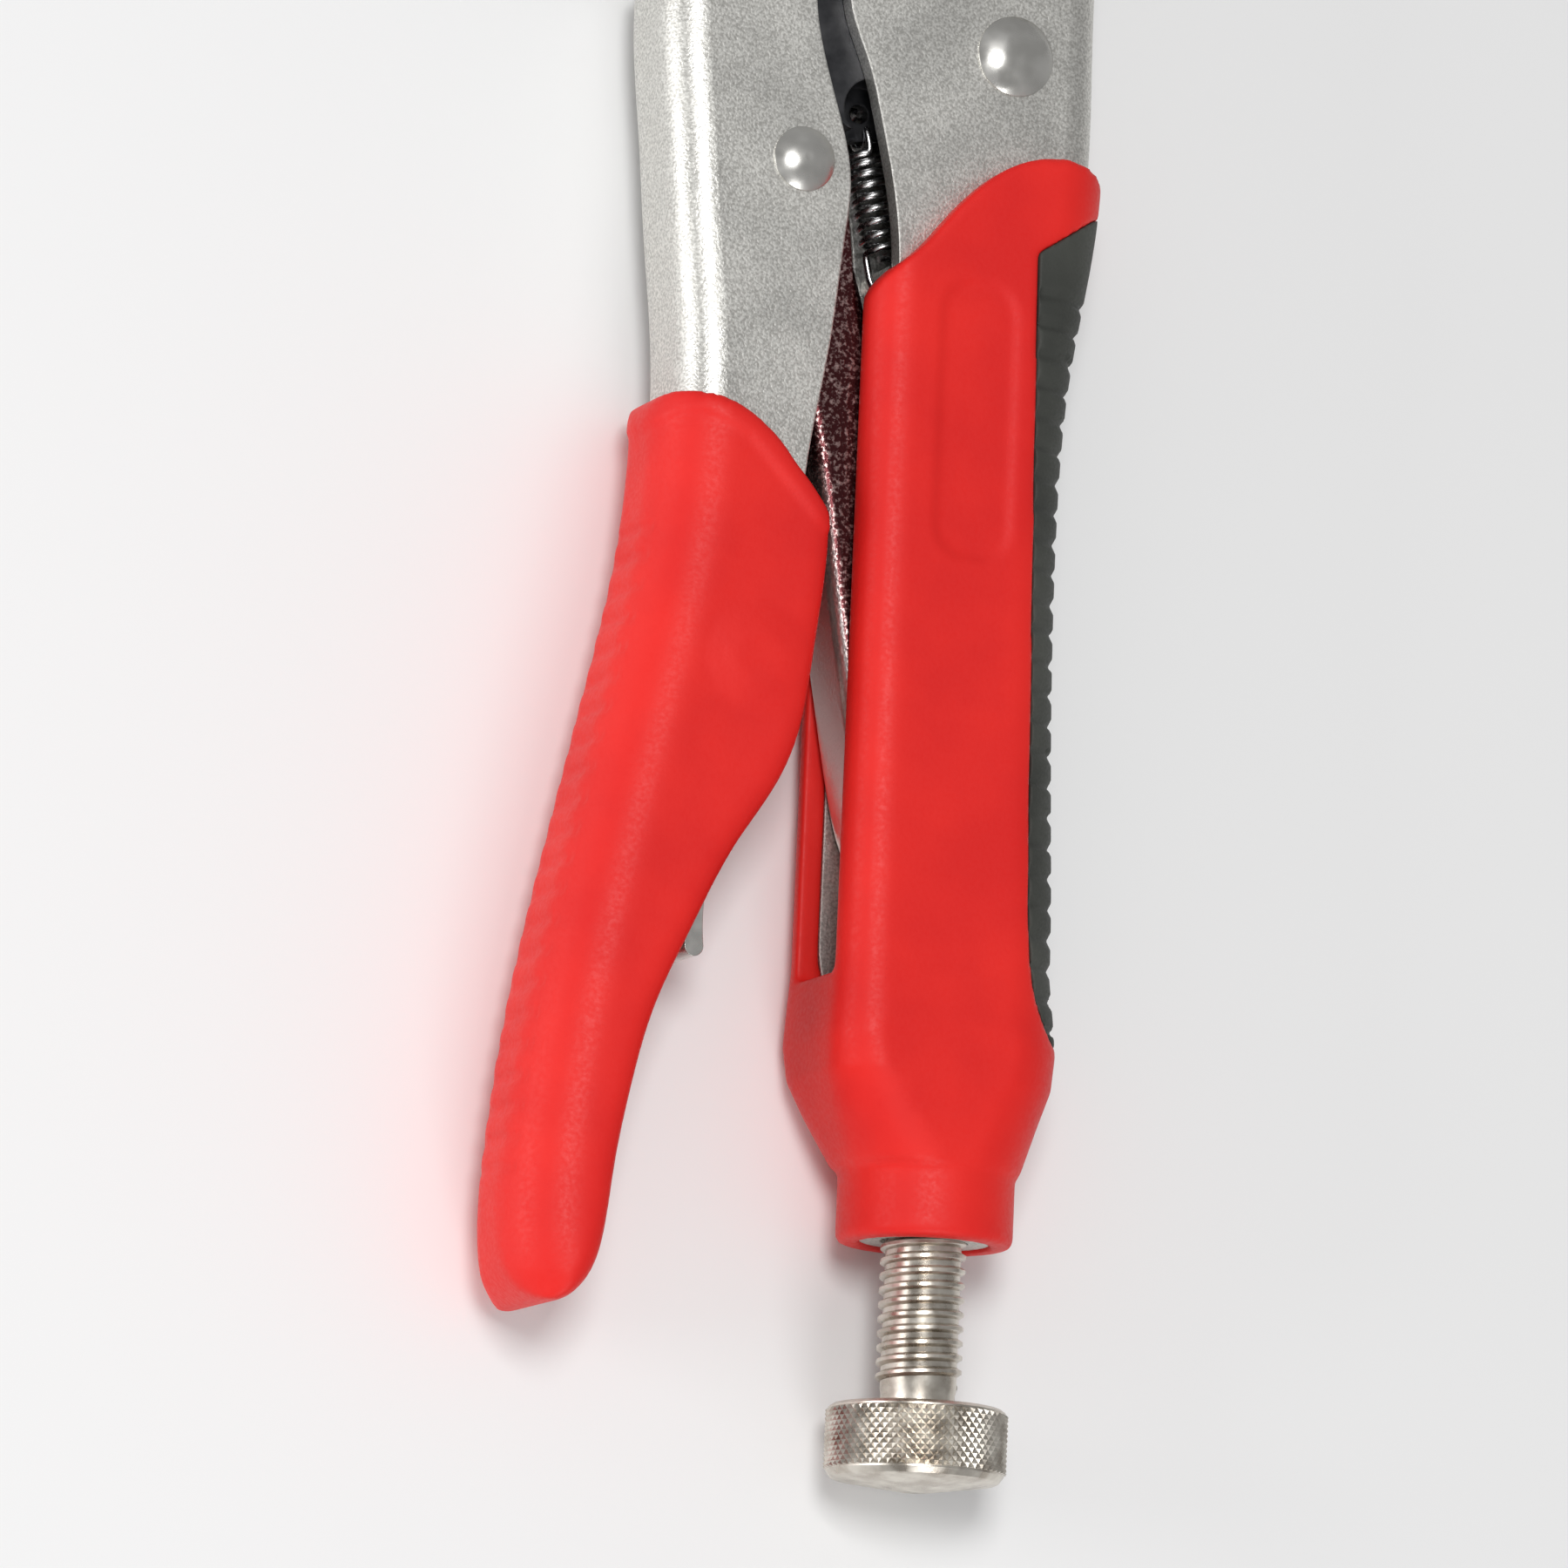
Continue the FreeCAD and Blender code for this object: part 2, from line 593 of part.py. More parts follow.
slab = new_body("bulb_slab", keep=False)
pad(slab, outline(slab, (-30, -100), ("line", (30, -100), (30, -140), (-30, -140))), "Sizes.bulb_width")
shaved_bulb = boolean("Common", "shaved_bulb", bulb, slab)
grip_solid = boolean("Fuse", "grip_solid", fixed_outer, shaved_bulb)

# the steel inside the grip, filled in, is taken out of it
fixed_core = new_body("fixed_core", keep=False)
pad(fixed_core, fixed_outline(fixed_core), "Sizes.channel_width")
round_edges(fixed_core, "Sizes.bend_radius", lambda p, e: channel_back(p, e) and p.x > 4)
add_tube(fixed_core, size("tube_radius"), -104, TUBE_END - 2)
hollow_grip = boolean("Cut", "hollow_grip", grip_solid, fixed_core)

mouth = new_body("fixed_mouth", keep=False)
pad(mouth, outline(mouth, (-40, -5), ("line", (-8, -5), (-8, -105.5), (-40, -105.5))), "Sizes.channel_gap")
open_grip = boolean("Cut", "open_grip", hollow_grip, mouth)

# Grip insert: a strip let into the back of the fixed grip

insert_zone = new_body("insert_zone", keep=False)
zone = outline(
    insert_zone, (2.7, -22.9), ("line", (10.4, -17.6), (16, -15.1), (16, -111.5), (9.0, -111.5)),
    ("curve", (6.4, -108), (5.2, -103), (4.3, -84), (3.2, -45), (2.7, -22.9)),
)
pad(insert_zone, zone, "Sizes.through")
insert_floor = new_body("insert_floor", keep=False)
sleeve_loft(insert_floor, size("insert_depth"))
loft(insert_floor, [
    rounded(insert_floor, -12, 8.4, 8.7, 2.6, 5.9, 103), rounded(insert_floor, -12, 9.6, 9.3, 2.6, 7.3, 113),
], ruled=True)
insert_shell = boolean("Cut", "insert_shell", insert_zone, insert_floor)
boolean("Common", "grip_insert", grip_solid, insert_shell, keep=True)
boolean("Cut", "fixed_grip", open_grip, insert_shell, keep=True)

# Moving grip: a moulded sleeve over the lower moving handle, open along its mouth

moving_outer = new_body("moving_grip_outer", keep=False)
sleeve = outline(
    moving_outer, (-40.4, -45.4),
    ("curve", (-38.6, -43.4), (-34.8, -43.9), (-29.4, -46.5), (-24.4, -51.6), (-20.4, -55.6)),
    ("curve", (-20.4, -61), (-21.0, -67), (-21.8, -74), (-22.9, -80.4), (-25.0, -85.8), (-29.6, -93.2),
     (-34.5, -103.2), (-38.4, -112.3), (-40.7, -121.4), (-42.1, -129.5), (-43.0, -137), (-45.0, -142.6),
     (-48.4, -144.9), (-51.6, -143.4), (-53.3, -139.4), (-53.7, -134), (-53.2, -126), (-52.2, -117),
     (-50.8, -108), (-48.0, -94), (-44.6, -78), (-41.8, -64), (-40.6, -54), (-40.4, -45.4)),
)
pad(moving_outer, sleeve, "Sizes.moving_grip_width")
sleeve_half = size("moving_grip_width") / 2
round_edges(
    moving_outer, "Sizes.moving_grip_round",
    lambda p, e: along_tool(e) and abs(abs(p.z) - sleeve_half) < TOUCHING,
)
moving_core = new_body("moving_core", keep=False)
pad(moving_core, moving_outline(moving_core), "Sizes.channel_width")
round_edges(moving_core, "Sizes.bend_radius", lambda p, e: channel_back(p, e) and p.x < -40)
hollow_sleeve = boolean("Cut", "hollow_sleeve", moving_outer, moving_core)
opening = new_body("moving_mouth", keep=False)
slot = outline(
    opening, (-46, -128), ("line", (-30, -128), (-12, -90), (-12, -30), (-34, -30), (-34, -70)),
    ("line", (-46, -115)),
)
pad(opening, slot, "Sizes.channel_gap")
open_sleeve = boolean("Cut", "open_sleeve", hollow_sleeve, opening)
rivet_room = new_body("rivet_room", *lever_pivot, keep=False)
room = circles(rivet_room, (0, 0, "Sizes.rivet_room_radius"))
pad(rivet_room, room, "Sizes.channel_width + 2 * Sizes.rivet_room_depth")
boolean("Cut", "moving_grip", open_sleeve, rivet_room, keep=True)

doc.recompute()
for item in doc.Objects:
    if "Invalid" in item.State or "Error" in item.State:
        raise RuntimeError(f"{item.Label} failed: {item.State}")
os.makedirs("parts", exist_ok=True)
for item in made:
    if item.Shape.isNull() or not item.Shape.isValid():
        raise RuntimeError(f"{item.Label} has no valid shape")
    item.Shape.exportStep(f"parts/{item.Label}.step")
    box = item.Shape.BoundBox
    print(
        f"{item.Label:18s} solids {len(item.Shape.Solids)} volume {item.Shape.Volume:9.1f}"
        f" x {box.XMin:7.2f} {box.XMax:7.2f} y {box.YMin:8.2f} {box.YMax:8.2f}"
        f" z {box.ZMin:6.2f} {box.ZMax:6.2f}"
    )
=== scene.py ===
import bpy
import json
import math
import numpy as np
from mathutils import Matrix, Vector


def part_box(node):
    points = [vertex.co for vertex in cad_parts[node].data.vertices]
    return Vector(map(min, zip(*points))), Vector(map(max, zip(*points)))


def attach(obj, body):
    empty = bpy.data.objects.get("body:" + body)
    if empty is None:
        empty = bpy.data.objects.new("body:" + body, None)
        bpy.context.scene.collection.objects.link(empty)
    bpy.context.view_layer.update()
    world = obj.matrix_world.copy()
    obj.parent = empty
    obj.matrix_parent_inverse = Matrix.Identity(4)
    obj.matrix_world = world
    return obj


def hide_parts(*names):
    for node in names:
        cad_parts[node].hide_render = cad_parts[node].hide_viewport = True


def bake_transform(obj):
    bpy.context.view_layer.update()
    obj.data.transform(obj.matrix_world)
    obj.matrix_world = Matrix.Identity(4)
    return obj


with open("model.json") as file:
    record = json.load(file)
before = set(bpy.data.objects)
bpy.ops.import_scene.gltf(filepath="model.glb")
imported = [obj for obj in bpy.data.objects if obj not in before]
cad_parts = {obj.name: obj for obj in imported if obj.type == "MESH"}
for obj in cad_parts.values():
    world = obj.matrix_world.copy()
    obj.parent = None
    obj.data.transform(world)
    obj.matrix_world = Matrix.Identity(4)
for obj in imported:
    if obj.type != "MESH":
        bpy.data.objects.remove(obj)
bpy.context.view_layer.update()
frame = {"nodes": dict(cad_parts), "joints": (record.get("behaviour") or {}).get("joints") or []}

# Camera, floor and light
# The pliers lie on their side on a pale floor. The camera looks down on the flat side, from a little
# towards the knob's end and the moving handle's side, through a long lens

MM = 0.001
joints = {joint["name"]: joint for joint in frame["joints"]}
pivot = Vector(joints["jaw_hinge"]["pos_m"])


def at(x, y, z=0.0):
    """A point in millimetres from the jaw pivot, in metres in the frame."""
    return pivot + Vector((x, y, z)) * MM


turned = math.radians(23)
tipped = math.radians(10.5)
rolled = math.radians(2.5)
right = Vector((math.cos(turned), 0, math.sin(turned)))
back = Vector((-math.sin(turned) * math.cos(tipped), -math.sin(tipped), math.cos(turned) * math.cos(tipped)))
up = back.cross(right)
camera_right = right * math.cos(rolled) + up * math.sin(rolled)
camera_up = up * math.cos(rolled) - right * math.sin(rolled)
aim = at(-21.2, -84.5)
view_height = 173.1 * MM
distance = 0.9

camera_data = bpy.data.cameras.new("camera")
camera_data.sensor_width = 36
camera_data.lens = camera_data.sensor_width * distance / view_height
camera_data.clip_start = 0.01
camera = bpy.data.objects.new("camera", camera_data)
bpy.context.scene.collection.objects.link(camera)
turn = Matrix((camera_right, camera_up, back)).transposed().to_4x4()
camera.matrix_world = Matrix.Translation(aim + back * distance) @ turn
bpy.context.scene.camera = camera
bpy.context.scene.view_settings.view_transform = "Standard"

bpy.ops.object.select_all(action="DESELECT")
bpy.ops.mesh.primitive_plane_add(size=6, location=(0, 0, 0))
floor = bpy.context.object
floor.name = "floor"
paper = bpy.data.materials.new("pale_floor")
paper.use_nodes = True
paper.node_tree.nodes["Principled BSDF"].inputs["Base Color"].default_value = (0.9, 0.9, 0.9, 1)
paper.node_tree.nodes["Principled BSDF"].inputs["Roughness"].default_value = 0.9
floor.data.materials.append(paper)

world = bpy.data.worlds.new("studio")
world.use_nodes = True
world.node_tree.nodes["Background"].inputs["Color"].default_value = (1, 1, 1, 1)
world.node_tree.nodes["Background"].inputs["Strength"].default_value = 0.34
bpy.context.scene.world = world


def softbox(name, place, width, power):
    """A square area light that shines at the middle of the tool."""
    data = bpy.data.lights.new(name, "AREA")
    data.size = width
    data.energy = power
    light = bpy.data.objects.new(name, data)
    bpy.context.scene.collection.objects.link(light)
    facing = (place - aim).to_track_quat("Z", "Y").to_matrix().to_4x4()
    light.matrix_world = Matrix.Translation(place) @ facing


softbox("key", aim + camera_right * 0.10 + camera_up * 0.25 + back * 0.75, 0.22, 2.9)
softbox("side", aim - camera_right * 0.70 + camera_up * 0.15 + back * 0.45, 0.35, 2.3)
softbox("low", aim + camera_right * 0.15 - camera_up * 0.60 + back * 0.55, 0.3, 1.8)

# Handles and toggle link
# Folded steel sheet and a forged bar, nickel plated after sandblasting. The blasting leaves a fine
# grain that sparkles, and the edges are left a little rounded


def new_material(name, colour, metallic, roughness):
    """A material with its shader's own colour, metal and roughness set."""
    material = bpy.data.materials.new(name)
    material.use_nodes = True
    shader = material.node_tree.nodes["Principled BSDF"]
    shader.inputs["Base Color"].default_value = (*colour, 1)
    shader.inputs["Metallic"].default_value = metallic
    shader.inputs["Roughness"].default_value = roughness
    return material, shader


def add_node(material, kind, **settings):
    node = material.node_tree.nodes.new(kind)
    for name, value in settings.items():
        if name in node.inputs:
            node.inputs[name].default_value = value
        else:
            setattr(node, name, value)
    return node


def noise(material, grain, detail=2.0):
    """A noise texture on object coordinates, with grain the size of its lumps in millimetres."""
    coordinates = add_node(material, "ShaderNodeTexCoord")
    texture = add_node(material, "ShaderNodeTexNoise", Scale=1 / (grain * MM), Detail=detail)
    material.node_tree.links.new(coordinates.outputs["Object"], texture.inputs["Vector"])
    return texture


def ramp(material, source, low, high, start=0.35, end=0.65):
    """Turns a texture's value into a colour or grey between low and high."""
    node = add_node(material, "ShaderNodeValToRGB")
    node.color_ramp.elements[0].position = start
    node.color_ramp.elements[0].color = (*low, 1)
    node.color_ramp.elements[1].position = end
    node.color_ramp.elements[1].color = (*high, 1)
    material.node_tree.links.new(source, node.inputs["Fac"])
    return node.outputs["Color"]


def bump(material, source, height, strength=1.0, edge=0.0):
    """A bump of that height in millimetres, over edges rounded by edge millimetres where edge is given."""
    links = material.node_tree.links
    node = add_node(material, "ShaderNodeBump", Strength=strength, Distance=height * MM)
    links.new(source, node.inputs["Height"])
    if edge:
        rounding = add_node(material, "ShaderNodeBevel", samples=4, Radius=edge * MM)
        links.new(rounding.outputs["Normal"], node.inputs["Normal"])
    return node.outputs["Normal"]


def blasted_nickel(name, dark, light, grain):
    material, shader = new_material(name, light, 0.9, 0.4)
    links = material.node_tree.links
    fine = noise(material, grain)
    broad = noise(material, 9.0)
    links.new(ramp(material, fine.outputs["Fac"], dark, light), shader.inputs["Base Color"])
    rough = ramp(material, broad.outputs["Fac"], (0.38,) * 3, (0.5,) * 3)
    links.new(rough, shader.inputs["Roughness"])
    links.new(bump(material, fine.outputs["Fac"], 0.06, 0.8, 0.3), shader.inputs["Normal"])
    return material


def dress(node, material):
    """Gives a CAD node its material, in place of the one that it came with."""
    slots = frame["nodes"][node].material_slots
    for slot in slots:
        slot.material = material
    if not slots:
        frame["nodes"][node].data.materials.append(material)


sheet_metal = blasted_nickel("blasted_nickel", (0.50, 0.49, 0.46), (0.80, 0.79, 0.75), 0.3)
for node in ("fixed_handle", "moving_handle"):
    dress(node, sheet_metal)

# Toggle link
# A forged bar between the moving handle and the screw. Its flat sides are blasted, and their grain is
# coloured dark red as painted shade
# # and painted red reflection. A band of the edge that the release lever pushes on is coloured bright as a
# painted highlight

link_metal, link_shader = new_material("link_nickel", (0.3, 0.29, 0.28), 0.95, 0.3)
link_links = link_metal.node_tree.links
link_grain = noise(link_metal, 0.42)
link_coordinates = add_node(link_metal, "ShaderNodeTexCoord")
link_normal = add_node(link_metal, "ShaderNodeSeparateXYZ")
link_links.new(link_coordinates.outputs["Normal"], link_normal.inputs["Vector"])
# painted highlight mask: the faces turned towards the moving handle's side
highlight_facing = add_node(link_metal, "ShaderNodeMapRange")
highlight_facing.inputs["From Min"].default_value = -0.35
highlight_facing.inputs["From Max"].default_value = -0.75
link_links.new(link_normal.outputs["X"], highlight_facing.inputs["Value"])
link_place = add_node(link_metal, "ShaderNodeSeparateXYZ")
link_links.new(link_coordinates.outputs["Object"], link_place.inputs["Vector"])
# limits the painted highlight to one band along the link's length
highlight_span = add_node(link_metal, "ShaderNodeMapRange")
highlight_span.inputs["From Min"].default_value = at(0, -48).y
highlight_span.inputs["From Max"].default_value = at(0, -68).y
link_links.new(link_place.outputs["Y"], highlight_span.inputs["Value"])
painted_edge_highlight = add_node(link_metal, "ShaderNodeMath", operation="MULTIPLY")
link_links.new(highlight_facing.outputs["Result"], painted_edge_highlight.inputs[0])
link_links.new(highlight_span.outputs["Result"], painted_edge_highlight.inputs[1])
# the blast grain, coloured dark red as painted shade and painted red reflection
grain_and_painted_red_shade = ramp(link_metal, link_grain.outputs["Fac"], (0.07, 0.018, 0.02), (0.62, 0.45, 0.43), 0.5, 0.78)
# puts the painted highlight's bright colour on that edge band
link_mix = add_node(link_metal, "ShaderNodeMixRGB")
link_links.new(painted_edge_highlight.outputs["Value"], link_mix.inputs["Fac"])
link_links.new(grain_and_painted_red_shade, link_mix.inputs["Color1"])
link_mix.inputs["Color2"].default_value = (0.82, 0.8, 0.77, 1)
link_links.new(link_mix.outputs["Color"], link_shader.inputs["Base Color"])
link_links.new(bump(link_metal, link_grain.outputs["Fac"], 0.1, 0.7, 0.3), link_shader.inputs["Normal"])
dress("toggle_link", link_metal)

# Jaws
# Forged and hardened steel, coloured near black and smooth, with fine marks from the forging

jaw_metal, jaw_shader = new_material("dark_forged_steel", (0.05, 0.05, 0.055), 0.85, 0.36)
jaw_cloud = noise(jaw_metal, 4.0, 5.0)
jaw_grain = noise(jaw_metal, 0.25)
jaw_links = jaw_metal.node_tree.links
jaw_colour = ramp(jaw_metal, jaw_cloud.outputs["Fac"], (0.035, 0.036, 0.04), (0.085, 0.085, 0.09))
jaw_links.new(jaw_colour, jaw_shader.inputs["Base Color"])
jaw_rough = ramp(jaw_metal, jaw_cloud.outputs["Fac"], (0.28,) * 3, (0.46,) * 3)
jaw_links.new(jaw_rough, jaw_shader.inputs["Roughness"])
jaw_links.new(bump(jaw_metal, jaw_grain.outputs["Fac"], 0.02, 0.5, 0.35), jaw_shader.inputs["Normal"])
for node in ("fixed_jaw", "moving_jaw"):
    dress(node, jaw_metal)

# Rivets and release lever
# Steel rivets with domed heads pressed over the sheet, and a bent strip of steel, all nickel plated
# and smoother than the blasted sheet

plated, plated_shader = new_material("plated_steel", (0.62, 0.6, 0.57), 0.95, 0.27)
plated_cloud = noise(plated, 3.5, 2.0)
plated_links = plated.node_tree.links
plated_colour = ramp(plated, plated_cloud.outputs["Fac"], (0.58, 0.57, 0.54), (0.68, 0.67, 0.64))
plated_links.new(plated_colour, plated_shader.inputs["Base Color"])
plated_rough = ramp(plated, plated_cloud.outputs["Fac"], (0.2,) * 3, (0.36,) * 3)
plated_links.new(plated_rough, plated_shader.inputs["Roughness"])
plated_links.new(bump(plated, plated_cloud.outputs["Fac"], 0.02, 0.3, 0.15), plated_shader.inputs["Normal"])
RIVETS = ("jaw_pivot_rivet", "handle_rivet", "link_rivet", "lever_rivet", "jaw_rivet_front", "jaw_rivet_rear")
for node in RIVETS:
    dress(node, plated)
dress("release_lever", plated)

# Jaw spring
# One bright steel wire wound into a stretched coil, with a loop at its top through the moving jaw's
# tail and a hook at its foot round the lug in the fixed handle

WIRE = 0.42
COIL = 2.1
LOOP_GAP = 0.6
LUG_REACH = 1.35
spring_top = Vector((-16.0, -7.5, 0))
spring_foot = Vector((-11.4, -25.75, 0))
along = (spring_foot - spring_top).normalized()
upright = Vector((0, 0, 1))
aside = along.cross(upright)
loop_centre = spring_top + along * (COIL - WIRE * 0.5)
hook_centre = spring_foot - along * (COIL - WIRE - LUG_REACH)
coil_start = loop_centre + along * (COIL + LOOP_GAP)
coil_end = hook_centre - along * (COIL + LOOP_GAP)
TURNS = 8.25
STEPS = 20
LOOP_STEPS = 27
LOOP_SWEEP = 300
HOOK_STEPS = 25
HOOK_SWEEP = 285
STRETCH = 1.15
wire_points = []
for step in range(LOOP_STEPS + 1):
    angle = math.radians(90 + LOOP_SWEEP * (1 - step / LOOP_STEPS))
    wire_points.append(loop_centre - along * (math.cos(angle) * COIL) + upright * (math.sin(angle) * COIL))
for step in range(int(TURNS * STEPS) + 1):
    angle = 2 * math.pi * step / STEPS
    climb = (step / (TURNS * STEPS)) ** STRETCH
    ring = upright * math.cos(angle) + aside * math.sin(angle)
    wire_points.append(coil_start.lerp(coil_end, climb) + ring * COIL)
for step in range(HOOK_STEPS + 1):
    angle = math.radians(90 - HOOK_SWEEP * step / HOOK_STEPS)
    wire_points.append(hook_centre + along * (math.cos(angle) * COIL) + aside * (math.sin(angle) * COIL))
wire = bpy.data.curves.new("jaw_coil_spring", "CURVE")
wire.dimensions = "3D"
wire.bevel_depth = WIRE * MM
wire.bevel_resolution = 3
wire.use_fill_caps = True
spline = wire.splines.new("NURBS")
spline.points.add(len(wire_points) - 1)
for point, place in zip(spline.points, wire_points):
    point.co = (*at(*place), 1)
spline.order_u = 3
spline.use_endpoint_u = True
spline.resolution_u = 3
spring = bpy.data.objects.new("jaw_coil_spring", wire)
bpy.context.scene.collection.objects.link(spring)


def choose(piece):
    """Makes one object the selected and active one."""
    bpy.ops.object.select_all(action="DESELECT")
    piece.select_set(True)
    bpy.context.view_layer.objects.active = piece


choose(spring)
bpy.ops.object.convert(target="MESH")
spring = bpy.context.object
bpy.ops.object.shade_smooth()
bright, bright_shader = new_material("spring_wire", (0.72, 0.72, 0.72), 1.0, 0.22)
drawn = noise(bright, 0.3, 3.0)
bright_rough = ramp(bright, drawn.outputs["Fac"], (0.16,) * 3, (0.3,) * 3)
bright.node_tree.links.new(bright_rough, bright_shader.inputs["Roughness"])
spring.data.materials.append(bright)
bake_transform(spring)
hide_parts("jaw_spring")

# Adjusting screw
# A 3/8 inch steel screw with a rolled thread, a blunt cone point and a smooth neck under the knob,
# plated in warm nickel

screw_low, screw_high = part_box("adjusting_screw")
knob_low, knob_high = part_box("screw_knob")
axis_x = (knob_low.x + knob_high.x) / 2
axis_z = (knob_low.z + knob_high.z) / 2
thread_radius = (screw_high.x - screw_low.x) / 2
knob_top = knob_high.y
PITCH = 1.5875 * MM
root = thread_radius - 0.55 * MM
neck = 4.1 * MM


def turned_piece(name, profile, turns=1.0, climb=0.0, steps=72):
    """Turns a profile of (radius, height) points about the screw's axis, climbing for a thread."""
    mesh = bpy.data.meshes.new(name)
    corners = [(radius, height, 0) for radius, height in profile]
    mesh.from_pydata(corners, [(n, n + 1) for n in range(len(corners) - 1)], [])
    piece = bpy.data.objects.new(name, mesh)
    bpy.context.scene.collection.objects.link(piece)
    choose(piece)
    winding = piece.modifiers.new("winding", "SCREW")
    winding.axis = "Y"
    winding.angle = 2 * math.pi * turns
    winding.screw_offset = climb
    winding.steps = winding.render_steps = steps
    winding.use_merge_vertices = True
    winding.merge_threshold = 0.000001
    bpy.ops.object.modifier_apply(modifier=winding.name)
    bpy.ops.object.mode_set(mode="EDIT")
    bpy.ops.mesh.select_all(action="SELECT")
    bpy.ops.mesh.remove_doubles(threshold=0.000001)
    if climb:
        bpy.ops.mesh.select_all(action="DESELECT")
        bpy.ops.mesh.select_non_manifold(
            extend=False, use_wire=False, use_multi_face=False, use_verts=False,
        )
        bpy.ops.mesh.fill()
        bpy.ops.mesh.select_all(action="SELECT")
    bpy.ops.mesh.normals_make_consistent(inside=False)
    bpy.ops.object.mode_set(mode="OBJECT")
    piece.data.transform(Matrix.Translation((axis_x, 0, axis_z)))
    return piece


point = screw_high.y
stub = 3.0 * MM
thread_end = knob_top + 1.8 * MM
neck_end = knob_top + 0.05 * MM
core = turned_piece("screw_core", [
    (0, point), (2.6 * MM, point), (root, point - 1.3 * MM), (root, thread_end),
    (neck, thread_end - 0.4 * MM), (neck, neck_end), (stub, neck_end), (stub, screw_low.y), (0, screw_low.y),
])
first_turn = thread_end + 0.15 * MM
thread_turns = (point - 2.6 * MM - first_turn) / PITCH
crest = thread_radius - 0.01 * MM
flank_top = crest - 0.08 * MM
flank_foot = root - 0.02 * MM
buried = root - 0.2 * MM
thread = turned_piece(
    "adjusting_screw_thread",
    [(radius, first_turn + rise * MM) for radius, rise in (
        (buried, 0), (flank_foot, 0), (flank_top, 0.28), (crest, 0.36), (crest, 0.72), (flank_top, 0.8),
        (flank_foot, 1.08), (buried, 1.08), (buried, 0),
    )],
    turns=thread_turns, climb=PITCH * thread_turns, steps=int(48 * thread_turns),
)
bpy.ops.object.select_all(action="DESELECT")
core.select_set(True)
thread.select_set(True)
bpy.context.view_layer.objects.active = thread
bpy.ops.object.join()
bpy.ops.object.shade_smooth_by_angle(angle=math.radians(35))
warm, warm_shader = new_material("warm_nickel", (0.62, 0.57, 0.5), 1.0, 0.3)
tarnish = noise(warm, 2.2, 5.0)
warm_links = warm.node_tree.links
warm_colour = ramp(warm, tarnish.outputs["Fac"], (0.47, 0.42, 0.36), (0.74, 0.7, 0.63))
warm_links.new(warm_colour, warm_shader.inputs["Base Color"])
warm_rough = ramp(warm, tarnish.outputs["Fac"], (0.24,) * 3, (0.4,) * 3)
warm_links.new(warm_rough, warm_shader.inputs["Roughness"])
warm_grain = noise(warm, 0.2)
warm_links.new(bump(warm, warm_grain.outputs["Fac"], 0.02, 0.4), warm_shader.inputs["Normal"])
thread.data.materials.clear()
thread.data.materials.append(warm)
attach(thread, "screw")
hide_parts("adjusting_screw")

# Screw knob
# A steel disc with a diamond knurl round its rim, a chamfer on each side and a slightly coned smooth
# end, plated with the screw

DIAMONDS = 60
ROWS = 6
rim = (knob_high.x - knob_low.x) / 2
KNURL = 0.32 * MM
band_top = knob_top - 0.6 * MM
band_bottom = knob_low.y + 2.4 * MM
base = rim - KNURL
bpy.ops.object.select_all(action="DESELECT")
bpy.ops.mesh.primitive_cylinder_add(
    vertices=DIAMONDS, radius=base, depth=band_top - band_bottom, end_fill_type="NOTHING",
    location=(axis_x, (band_top + band_bottom) / 2, axis_z), rotation=(math.radians(90), 0, 0),
)
knob = bpy.context.object
knob.name = "knurled_knob"
bpy.ops.object.transform_apply(location=True, rotation=True, scale=True)


def select_edges(piece, test):
    """Selects, in object mode, the edges whose ends pass the test, and nothing else."""
    for group in (piece.data.vertices, piece.data.edges, piece.data.polygons):
        group.foreach_set("select", [False] * len(group))
    corners = piece.data.vertices
    for edge in piece.data.edges:
        if test(corners[edge.vertices[0]].co, corners[edge.vertices[1]].co):
            edge.select = True


def in_edit(piece, *steps):
    """Runs operators on what is selected in a piece, in edge mode."""
    choose(piece)
    bpy.context.scene.tool_settings.mesh_select_mode = (False, True, False)
    bpy.ops.object.mode_set(mode="EDIT")
    for step in steps:
        step()
    bpy.ops.object.mode_set(mode="OBJECT")


FINE = 0.00001
select_edges(knob, lambda a, b: abs(a.y - b.y) > FINE)
in_edit(knob, lambda: bpy.ops.mesh.subdivide(number_cuts=ROWS - 1))
grid = {frozenset(edge.vertices) for edge in knob.data.edges}
in_edit(knob, lambda: bpy.ops.mesh.select_all(action="SELECT"), lambda: bpy.ops.mesh.poke())
ends = (band_top, band_bottom)
for group in (knob.data.vertices, knob.data.edges, knob.data.polygons):
    group.foreach_set("select", [False] * len(group))
for edge in knob.data.edges:
    heights = [knob.data.vertices[corner].co.y for corner in edge.vertices]
    on_end = any(all(abs(height - end) < FINE for height in heights) for end in ends)
    edge.select = frozenset(edge.vertices) in grid and not on_end
in_edit(
    knob, lambda: bpy.ops.mesh.dissolve_edges(use_verts=False),
    lambda: bpy.ops.mesh.select_all(action="SELECT"),
    lambda: bpy.ops.mesh.poke(offset=KNURL),
)
RING_ROOM = 0.00004


def add_ring(piece, height, radius, next_height, next_radius):
    """Extrudes the open edge at a height to another height and radius."""
    def on_ring(corner):
        out = math.hypot(corner.x - axis_x, corner.z - axis_z)
        return abs(corner.y - height) < FINE and abs(out - radius) < RING_ROOM

    select_edges(piece, lambda a, b: on_ring(a) and on_ring(b))
    share = next_radius / radius
    rise = {"value": (0, next_height - height, 0)}
    centre = (axis_x, next_height, axis_z)
    in_edit(
        piece, lambda: bpy.ops.mesh.extrude_edges_move(TRANSFORM_OT_translate=rise),
        lambda: bpy.ops.transform.resize(value=(share, 1, share), center_override=centre),
    )


